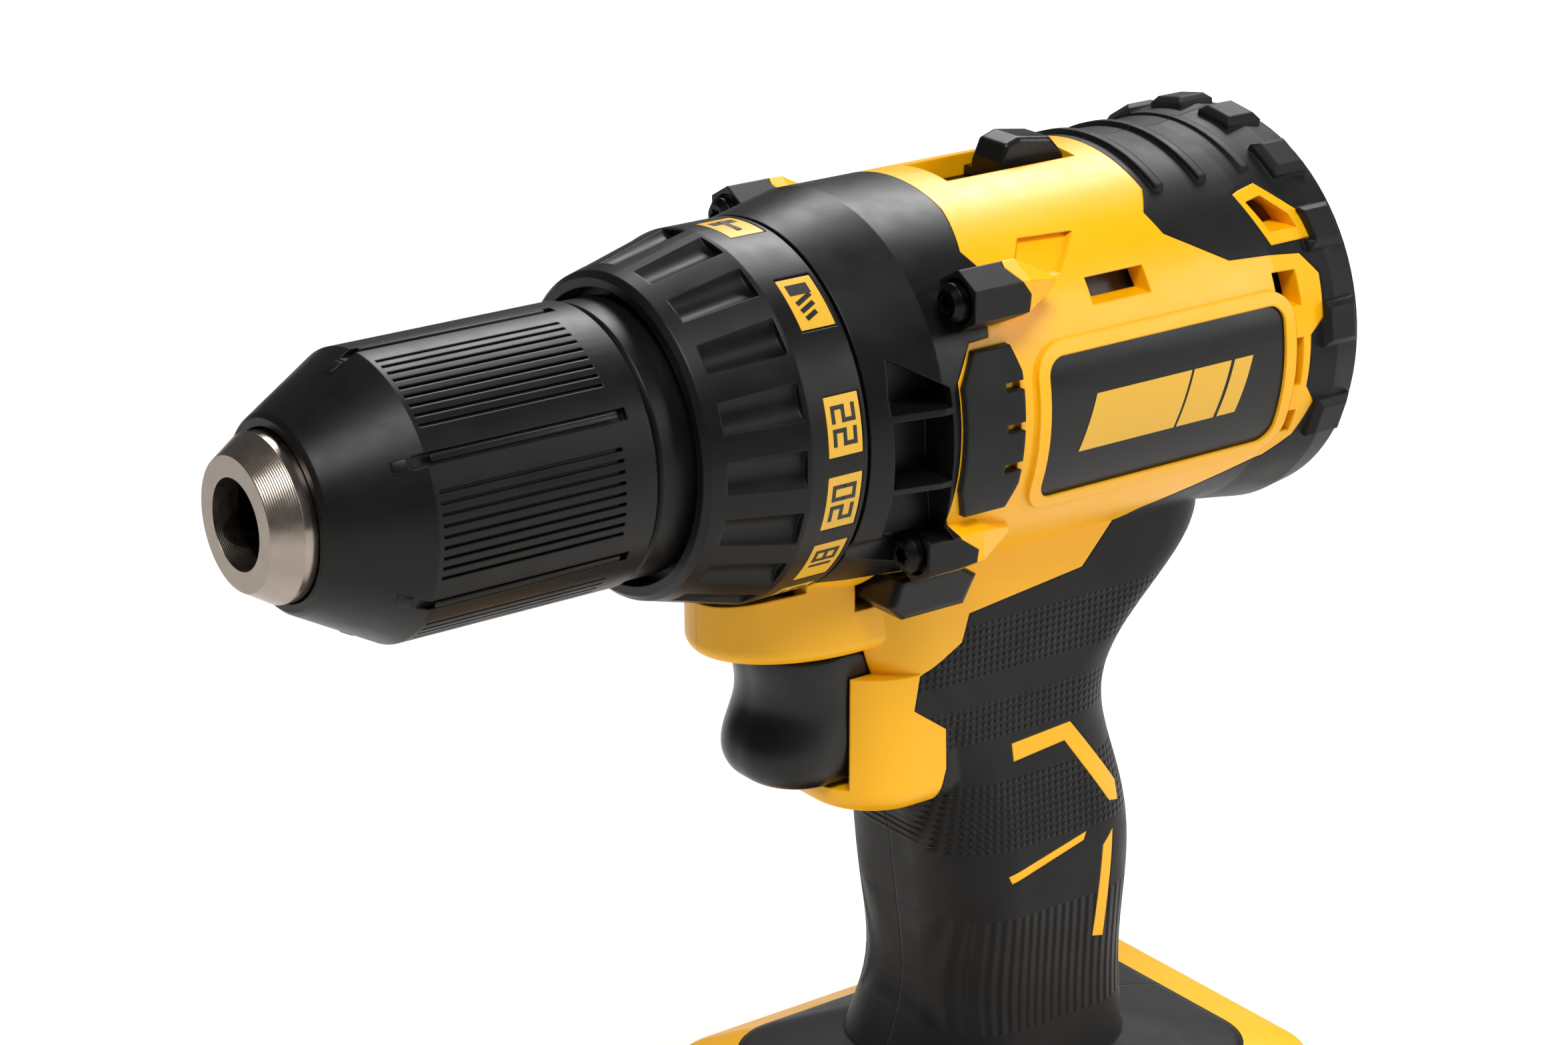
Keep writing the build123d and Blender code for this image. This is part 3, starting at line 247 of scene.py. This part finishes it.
def ground_metal(name, base, roughness):
    """Machined, coated or stacked metal with a fine directionless scratch."""
    material, tree, place = start_material(name)
    scratch = add_node(tree, "ShaderNodeTexNoise", None, {
        "Vector": place, "Scale": 1 / (0.3 * MM), "Detail": 4.0})
    soft = add_node(tree, "ShaderNodeBevel", {"samples": 4}, {"Radius": 0.15 * MM})
    bump = add_node(tree, "ShaderNodeBump", None, {
        "Height": scratch.outputs[0], "Strength": 0.4, "Distance": 0.01 * MM,
        "Normal": soft.outputs["Normal"]})
    # The eye sees a grey that catches the light unevenly, as tool marks and oil leave it.
    shader = add_node(tree, "ShaderNodeBsdfPrincipled", None, {
        "Base Color": mottled(tree, place, base, 0.8, 0.005),
        "Roughness": ranged(tree, place, 0.003, roughness - 0.06, roughness + 0.08),
        "Normal": bump.outputs["Normal"], "Metallic": 1.0,
    })
    return end_material(material, tree, shader)


def clear_lens(name):
    """Clear moulded polycarbonate over the lamp."""
    material, tree, place = start_material(name)
    ripple = add_node(tree, "ShaderNodeTexNoise", None, {"Vector": place, "Scale": 1 / (1.5 * MM)})
    bump = add_node(tree, "ShaderNodeBump", None, {
        "Height": ripple.outputs[0], "Strength": 0.2, "Distance": 0.05 * MM})
    # The eye sees a bright bead with a slight ripple from the mould.
    shader = add_node(tree, "ShaderNodeBsdfPrincipled", None, {
        "Base Color": (0.95, 0.96, 0.95, 1.0), "Roughness": 0.08, "IOR": 1.58, "Transmission Weight": 0.8,
        "Normal": bump.outputs["Normal"],
    })
    return end_material(material, tree, shader)


def painted_floor(name):
    """Pale painted board under the tool."""
    material, tree, place = start_material(name)
    # The eye sees a nearly even off-white with faint clouding.
    shader = add_node(tree, "ShaderNodeBsdfPrincipled", None, {
        "Base Color": mottled(tree, place, linear("#F4F3F1"), 0.97, 0.4),
        "Roughness": ranged(tree, place, 0.3, 0.55, 0.65)})
    return end_material(material, tree, shader)


def make_finish(name):
    """Each finish on the tool, by name."""
    colours = bpy.context.scene.drill_colours
    rounding = bpy.context.scene.drill_sizes.edge_round
    housing, black = tuple(colours.housing), tuple(colours.black)
    rubber, marks = tuple(colours.rubber), tuple(colours.marks)
    # Plastics: base, roughness, grain size, grain depth, edge rounding, specular level
    plastics = {
        "yellow_abs_moulded": (housing, 0.36, 0.4 * MM, 0.006 * MM, rounding, 0.38),
        "black_nylon_moulded": (black, 0.38, 0.35 * MM, 0.014 * MM, rounding * 0.8, 0.24),
        "black_satin_button": (black, 0.3, 0.6 * MM, 0.004 * MM, rounding * 1.4, 0.34),
        "plate_film_black": (linear("#141312"), 0.3, 0.8 * MM, 0.002 * MM, 0.2 * MM, 0.28),
        "printed_field_yellow": (marks, 0.4, 0.5 * MM, 0.003 * MM, 0.1 * MM),
        "printed_ink_black": (linear("#161412"), 0.45, 0.3 * MM, 0.003 * MM, 0.05 * MM),
        "board_solder_mask": (linear("#14401F"), 0.3, 0.5 * MM, 0.01 * MM, 0.1 * MM),
        "cell_shrink_film": (linear("#2D7385"), 0.28, 0.8 * MM, 0.01 * MM, 0.3 * MM),
    }
    # Metals: base, roughness
    metals = {
        "jaw_steel_ground": (linear("#8C8883"), 0.32),
        "gear_steel_sintered": (linear("#7A7875"), 0.42),
        "screw_steel_blackened": (linear("#2A2827"), 0.34),
        "lamination_steel": (linear("#5B5C60"), 0.5),
        "copper_enamelled": (linear("#B5683A"), 0.3),
    }
    others = {
        "rubber_overmould": lambda: grip_rubber(name, rubber, rounding * 1.6),
        "nose_steel_turned": lambda: turned_steel(name, linear("#A3978C"), 0.2, 0.3 * MM, 0.02 * MM),
        "lamp_polycarbonate": lambda: clear_lens(name),
        "floor_painted": lambda: painted_floor(name),
    }
    if name in bpy.data.materials:
        return bpy.data.materials[name]
    if name in plastics:
        return moulded_plastic(name, *plastics[name])
    if name in metals:
        return ground_metal(name, *metals[name])
    return others[name]()


def finish_nodes(finishes):
    """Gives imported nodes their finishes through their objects' material slots."""
    for name, nodes in finishes.items():
        material = make_finish(name)
        for node in nodes:
            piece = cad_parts[node]
            for slot in piece.material_slots:
                slot.link = "OBJECT"
                slot.material = material


# ---------------------------------------------------------------- modelling helpers
def clear_selection():
    if bpy.context.object and bpy.context.object.mode != "OBJECT":
        bpy.ops.object.mode_set(mode="OBJECT")
    bpy.ops.object.select_all(action="DESELECT")


def make_active(piece):
    clear_selection()
    piece.select_set(True)
    bpy.context.view_layer.objects.active = piece


def apply_place(piece):
    """Moves a piece's place, turn and size into its mesh."""
    make_active(piece)
    bpy.ops.object.transform_apply(location=True, rotation=True, scale=True)


def apply_modifier(piece, kind, **settings):
    make_active(piece)
    modifier = piece.modifiers.new(kind.lower(), kind)
    for name, value in settings.items():
        setattr(modifier, name, value)
    bpy.ops.object.modifier_apply(modifier=modifier.name)


def join(pieces, name):
    """One piece from several, with its place in its mesh."""
    clear_selection()
    for piece in pieces:
        piece.select_set(True)
    bpy.context.view_layer.objects.active = pieces[0]
    if len(pieces) > 1:
        bpy.ops.object.join()
    joined = bpy.context.object
    joined.name = joined.data.name = name
    apply_place(joined)
    return joined


def finish_piece(piece, material, body):
    piece.data.materials.clear()
    piece.data.materials.append(make_finish(material))
    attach(piece, body)


def delete_faces(piece, unwanted):
    """Deletes the faces of a mesh whose centre is unwanted."""
    make_active(piece)
    bpy.ops.object.mode_set(mode="EDIT")
    bpy.ops.mesh.select_all(action="DESELECT")
    bpy.ops.object.mode_set(mode="OBJECT")
    for face in piece.data.polygons:
        face.select = unwanted(face.center)
    bpy.ops.object.mode_set(mode="EDIT")
    bpy.ops.mesh.select_mode(type="FACE")
    bpy.ops.mesh.delete(type="FACE")
    bpy.ops.object.mode_set(mode="OBJECT")


def tangent_tile(x, angle, radius, length, width, turn=0.0):
    """A small flat tile that lies against a cylinder about the spindle's axis: length runs along the tool."""
    clear_selection()
    around = math.radians(angle)
    place = (x, radius * math.cos(around), radius * math.sin(around))
    bpy.ops.mesh.primitive_plane_add(size=1, location=place)
    tile = bpy.context.object
    stand = Matrix.Rotation(around - math.pi / 2, 4, "X") @ Matrix.Rotation(math.radians(turn), 4, "Z")
    tile.matrix_world = Matrix.Translation(place) @ stand @ Matrix.Diagonal((length, width, 1, 1))
    return tile


# ---------------------------------------------------------------- pieces
LABEL_X = -84.7 * MM
LABELS = [("hammer", 90.0), ("bit", 48.8)] + [(str(22 - 2 * n), 10.6 - 24.1 * n) for n in range(11)]
FIELD_HALF_ANGLE = 8.9
SLEEVE_SECTORS = 6
# The strokes that each number takes, by their letters in digit_tiles
SEGMENTS = {
    "0": "abcdef", "1": "bc", "2": "abged", "4": "fgbc", "6": "afgedc", "8": "abcdefg",
}


def digit_tiles(digit, offset, angle, radius, height):
    """One squared number, drawn from strokes. It reads round the collar, with its top towards the chuck."""
    width, stroke = 0.62 * height, 0.15 * height
    reach, rise = (width - stroke) / 2, (height - stroke) / 2
    strokes = {
        "a": (rise, 0, stroke, width), "g": (0, 0, stroke, width), "d": (-rise, 0, stroke, width),
        "f": (rise / 2, -reach, height / 2, stroke), "b": (rise / 2, reach, height / 2, stroke),
        "e": (-rise / 2, -reach, height / 2, stroke), "c": (-rise / 2, reach, height / 2, stroke),
    }
    tiles = []
    for name in SEGMENTS[digit]:
        along, across, length, breadth = strokes[name]
        turn = math.degrees((offset + across) / radius)
        tiles.append(tangent_tile(LABEL_X + along, angle + turn, radius, length, breadth))
    return tiles


def icon_tiles(icon, angle, radius):
    """The drilling and hammer signs."""
    if icon == "hammer":
        marks = [(0.0, 0.0, 0.9, 5.2, 0), (0.0, 1.9, 4.2, 1.7, 0)]
    else:
        marks = [
            (0.2, 2.3, 3.8, 1.9, 0), (0.2, 0.5, 3.4, 0.75, 24),
            (0.2, -0.9, 3.0, 0.75, 24), (0.2, -2.3, 2.4, 0.75, 24),
        ]
    tiles = []
    for along, across, length, breadth, turn in marks:
        shift = math.degrees(across * MM / radius)
        x = LABEL_X + along * MM
        tiles.append(tangent_tile(x, angle + shift, radius, length * MM, breadth * MM, turn))
    return tiles


class DRILL_OT_collar_fields(bpy.types.Operator):
    """Yellow printed fields set into the collar's band"""
    bl_idname = "drill.collar_fields"
    bl_label = "Collar fields"

    def execute(self, context):
        sizes = context.scene.drill_sizes
        clear_selection()
        bpy.ops.mesh.primitive_cylinder_add(
            vertices=720, radius=sizes.collar_radius - 0.06 * MM, depth=sizes.field_length,
            end_fill_type="NOTHING",
            location=(LABEL_X, 0, 0), rotation=(0, math.pi / 2, 0))
        band = bpy.context.object
        apply_place(band)

        def outside(centre):
            angle = math.degrees(math.atan2(centre.z, centre.y))
            return all(abs((angle - middle + 180) % 360 - 180) > FIELD_HALF_ANGLE for _, middle in LABELS)

        delete_faces(band, outside)
        apply_modifier(band, "SOLIDIFY", thickness=0.22 * MM, offset=-1)
        fields = join([band], "collar_fields")
        bpy.ops.object.shade_smooth_by_angle(angle=math.radians(30))
        finish_piece(fields, "printed_field_yellow", "collar")
        return {"FINISHED"}


class DRILL_OT_collar_marks(bpy.types.Operator):
    """Numbers and signs printed on the collar's fields"""
    bl_idname = "drill.collar_marks"
    bl_label = "Collar marks"

    def execute(self, context):
        sizes = context.scene.drill_sizes
        radius, height = sizes.collar_radius - 0.02 * MM, sizes.digit_height
        tiles = []
        for text, angle in LABELS:
            if text in ("hammer", "bit"):
                tiles += icon_tiles(text, angle, radius)
                continue
            pitch = 0.62 * height + 0.8 * MM
            for n, digit in enumerate(text):
                tiles += digit_tiles(digit, (n - (len(text) - 1) / 2) * pitch, angle, radius, height)
        marks = join(tiles, "collar_marks")
        apply_modifier(marks, "SOLIDIFY", thickness=0.05 * MM, offset=-1)
        finish_piece(marks, "printed_ink_black", "collar")
        return {"FINISHED"}


class DRILL_OT_plate_graphic(bpy.types.Operator):
    """Plain slanting bars on the two nameplates"""
    bl_idname = "drill.plate_graphic"
    bl_label = "Nameplate graphic"

    def execute(self, context):
        for side, node in ((1, "left_nameplate"), (-1, "right_nameplate")):
            low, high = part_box(node)
            middle = (low + high) / 2
            bars = []
            for n, length in enumerate((0.4, 0.16, 0.08)):
                clear_selection()
                x = middle.x + (6.5, -7.5, -14.0)[n] * MM
                bpy.ops.mesh.primitive_grid_add(x_subdivisions=12, y_subdivisions=12, size=1)
                bar = bpy.context.object
                span = (high.x - low.x) * length
                slant = Matrix.Identity(4)
                slant[0][2] = -0.32
                upright = slant @ Matrix.Rotation(math.pi / 2, 4, "X")
                place = Matrix.Translation((x, side * 40 * MM, middle.z))
                bar.data.transform(place @ upright @ Matrix.Diagonal((span, 9.0 * MM, 1, 1)))
                bars.append(bar)
            graphic = join(bars, f"{node.split('_')[0]}_plate_graphic")
            apply_modifier(
                graphic, "SHRINKWRAP", target=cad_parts[node], wrap_method="PROJECT", use_project_y=True,
                use_negative_direction=True, use_positive_direction=True, offset=0.06 * MM)
            finish_piece(graphic, "printed_field_yellow", "housing")
        return {"FINISHED"}


class DRILL_OT_selector_track(bpy.types.Operator):
    """The black floor of the selector's slot and the yellow arrow on it"""
    bl_idname = "drill.selector_track"
    bl_label = "Selector track"

    def execute(self, context):
        clear_selection()
        bpy.ops.mesh.primitive_cube_add(size=1, location=(-134.2 * MM, 0, 27.3 * MM))
        floor = bpy.context.object
        floor.scale = (26.0 * MM, 11.0 * MM, 0.2 * MM)
        floor = join([floor], "selector_floor")
        apply_modifier(floor, "BEVEL", width=0.05 * MM, segments=2)
        finish_piece(floor, "black_nylon_moulded", "housing")
        clear_selection()
        bpy.ops.mesh.primitive_cube_add(size=1, location=(-127.0 * MM, 0, 27.45 * MM))
        stem = bpy.context.object
        stem.scale = (9.0 * MM, 2.6 * MM, 0.08 * MM)
        bpy.ops.mesh.primitive_cylinder_add(
            vertices=3, radius=2.6 * MM, depth=0.08 * MM, location=(-123.6 * MM, 0, 27.45 * MM),
            rotation=(0, 0, -math.pi / 2))
        arrow = join([stem, bpy.context.object], "selector_arrow")
        apply_modifier(arrow, "BEVEL", width=0.02 * MM, segments=1)
        finish_piece(arrow, "printed_field_yellow", "housing")
        return {"FINISHED"}


class DRILL_OT_sleeve_trims(bpy.types.Operator):
    """Raised bars and squares moulded on the chuck's sleeve"""
    bl_idname = "drill.sleeve_trims"
    bl_label = "Sleeve trims"

    def execute(self, context):
        trims = []
        # x, radius, length, width and tilt of the long bar on the round part and the square on the cone
        shapes = ((-36.0, 21.5, 31.0, 0.95, 0.0), (-16.6, 19.75, 2.4, 1.9, 28.5))
        for n in range(SLEEVE_SECTORS):
            around = math.radians(360.0 * n / SLEEVE_SECTORS + 90.0)
            for x, radius, length, width, tilt in shapes:
                clear_selection()
                bpy.ops.mesh.primitive_cube_add(size=1)
                bar = bpy.context.object
                place = (x * MM, radius * MM * math.cos(around), radius * MM * math.sin(around))
                stand = Matrix.Rotation(around - math.pi / 2, 4, "X")
                stand = stand @ Matrix.Rotation(math.radians(tilt), 4, "Y")
                size = Matrix.Diagonal((length * MM, width * MM, 0.7 * MM, 1))
                bar.matrix_world = Matrix.Translation(place) @ stand @ size
                trims.append(bar)
        trims = join(trims, "sleeve_trims")
        apply_modifier(trims, "BEVEL", width=0.18 * MM, segments=3)
        bpy.ops.object.shade_smooth_by_angle(angle=math.radians(40))
        finish_piece(trims, "black_nylon_moulded", "sleeve")
        return {"FINISHED"}


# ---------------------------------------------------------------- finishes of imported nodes
class DRILL_OT_shell_finish(bpy.types.Operator):
    """Finishes of the clamshell, its rubber, plates and screws"""
    bl_idname = "drill.shell_finish"
    bl_label = "Shell finishes"

    def execute(self, context):
        finish_nodes({
            "yellow_abs_moulded": ["left_housing", "right_housing"],
            "rubber_overmould": ["left_overmold", "right_overmold", "left_side_pad", "right_side_pad"],
            "plate_film_black": ["left_nameplate", "right_nameplate"],
            "black_nylon_moulded": ["gearcase", "rear_cap"],
            "screw_steel_blackened": ["gearcase_screws"],
            "lamp_polycarbonate": ["lamp_lens"],
        })
        return {"FINISHED"}


class DRILL_OT_chuck_finish(bpy.types.Operator):
    """Finishes of the chuck and the torque collar"""
    bl_idname = "drill.chuck_finish"
    bl_label = "Chuck and collar finishes"

    def execute(self, context):
        finish_nodes({
            "nose_steel_turned": ["chuck_body"],
            "black_nylon_moulded": ["chuck_sleeve", "chuck_rear_ring", "torque_collar"],
            "jaw_steel_ground": ["jaw_1", "jaw_2", "jaw_3", "chuck_screw", "chuck_nut"],
        })
        return {"FINISHED"}


class DRILL_OT_works_finish(bpy.types.Operator):
    """Finishes of the gearbox, motor and switch inside the shells"""
    bl_idname = "drill.works_finish"
    bl_label = "Gearbox and motor finishes"

    def execute(self, context):
        planets = [f"planet_{stage}{letter}" for stage in (1, 2) for letter in "abc"]
        finish_nodes({
            "gear_steel_sintered": [
                "ring_gear_1", "ring_gear_2", "stage_1_carrier", "output_carrier", "motor_pinion", *planets],
            "jaw_steel_ground": [
                "spindle", "spindle_bearing", "motor_shaft", "motor_front_bearing", "motor_rear_bearing"],
            "lamination_steel": ["stator", "rotor"],
            "copper_enamelled": ["windings"],
            "board_solder_mask": ["motor_board"],
            "black_nylon_moulded": ["fan", "motor_plate", "switch_module", "terminal_block"],
        })
        return {"FINISHED"}


class DRILL_OT_control_finish(bpy.types.Operator):
    """Finishes of the trigger, direction button and speed selector"""
    bl_idname = "drill.control_finish"
    bl_label = "Control finishes"

    def execute(self, context):
        finish_nodes({"black_satin_button": ["trigger", "direction_button", "gear_selector"]})
        return {"FINISHED"}


class DRILL_OT_battery_finish(bpy.types.Operator):
    """Finishes of the battery"""
    bl_idname = "drill.battery_finish"
    bl_label = "Battery finishes"

    def execute(self, context):
        finish_nodes({
            "black_nylon_moulded": ["battery_top_case", "battery_bottom_case"],
            "yellow_abs_moulded": ["battery_latch"],
            "cell_shrink_film": ["battery_cells"],
        })
        return {"FINISHED"}


# ---------------------------------------------------------------- stage
def area_light(name, place, aim, size, power, colour=(1.0, 1.0, 1.0)):
    clear_selection()
    bpy.ops.object.light_add(type="AREA", location=place)
    lamp = bpy.context.object
    lamp.name = name
    lamp.data.shape = "RECTANGLE"
    lamp.data.size, lamp.data.size_y = size
    lamp.data.energy = power
    lamp.data.color = colour
    lamp.rotation_euler = (Vector(aim) - Vector(place)).to_track_quat("-Z", "Y").to_euler()


class DRILL_OT_stage(bpy.types.Operator):
    """Pale floor, soft lights and the camera"""
    bl_idname = "drill.stage"
    bl_label = "Stage"

    def execute(self, context):
        low = Vector(CAD_BOX[0])
        clear_selection()
        bpy.ops.mesh.primitive_plane_add(size=8, location=(0, 0, low.z - 0.3 * MM))
        floor = bpy.context.object
        floor.name = "floor"
        floor.data.materials.append(make_finish("floor_painted"))
        aim = (-0.1, 0, -0.02)
        area_light("key", (0.5, 0.9, 1.9), aim, (1.2, 0.8), 44.0)
        area_light("side", (-1.3, 1.1, 0.5), aim, (0.35, 0.9), 9.0)
        area_light("back", (-1.3, -1.1, 1.5), aim, (1.3, 0.7), 40.0)
        world = bpy.data.worlds.new("studio")
        world.use_nodes = True
        world.node_tree.nodes["Background"].inputs["Color"].default_value = (1.0, 1.0, 1.0, 1.0)
        world.node_tree.nodes["Background"].inputs["Strength"].default_value = 0.1
        context.scene.world = world
        context.scene.view_settings.view_transform = "Standard"
        place = Vector((235.5, 447.1, 185.1)) * MM
        ahead = Vector((-0.557249, -0.754416, -0.346885)).normalized()
        right = ahead.cross(Vector((0, 0, 1))).normalized()
        up = right.cross(ahead)
        bpy.ops.object.camera_add()
        camera = bpy.context.object
        camera.name = "camera"
        turn = Matrix((right, up, -ahead)).transposed()
        camera.matrix_world = Matrix.Translation(place) @ turn.to_4x4()
        camera.data.sensor_width = 36.0
        camera.data.lens = 5751 / 2352 * 36.0
        camera.data.clip_start = 0.01
        context.scene.camera = camera
        return {"FINISHED"}


class DRILL_PT_panel(bpy.types.Panel):
    """The drill's pieces, in the order that they are made"""
    bl_label = "Cordless drill"
    bl_idname = "DRILL_PT_panel"
    bl_space_type = "VIEW_3D"
    bl_region_type = "UI"
    bl_category = "Drill"

    def draw(self, context):
        for operator in OPERATORS:
            self.layout.operator(operator.bl_idname)
        for group in (context.scene.drill_colours, context.scene.drill_sizes):
            for name in group.__annotations__:
                self.layout.prop(group, name)


OPERATORS = (
    DRILL_OT_stage,
    DRILL_OT_shell_finish,
    DRILL_OT_chuck_finish,
    DRILL_OT_works_finish,
    DRILL_OT_control_finish,
    DRILL_OT_battery_finish,
    DRILL_OT_collar_fields,
    DRILL_OT_collar_marks,
    DRILL_OT_plate_graphic,
    DRILL_OT_selector_track,
    DRILL_OT_sleeve_trims,
)
CLASSES = (DrillColours, DrillSizes, *OPERATORS, DRILL_PT_panel)


def register():
    for item in CLASSES:
        bpy.utils.register_class(item)
    bpy.types.Scene.drill_colours = bpy.props.PointerProperty(type=DrillColours)
    bpy.types.Scene.drill_sizes = bpy.props.PointerProperty(type=DrillSizes)


def unregister():
    del bpy.types.Scene.drill_sizes
    del bpy.types.Scene.drill_colours
    for item in reversed(CLASSES):
        bpy.utils.unregister_class(item)


def main():
    register()
    for operator in OPERATORS:
        name = operator.bl_idname.split(".")[1]
        getattr(bpy.ops.drill, name)()


if __name__ == "__main__":
    main()
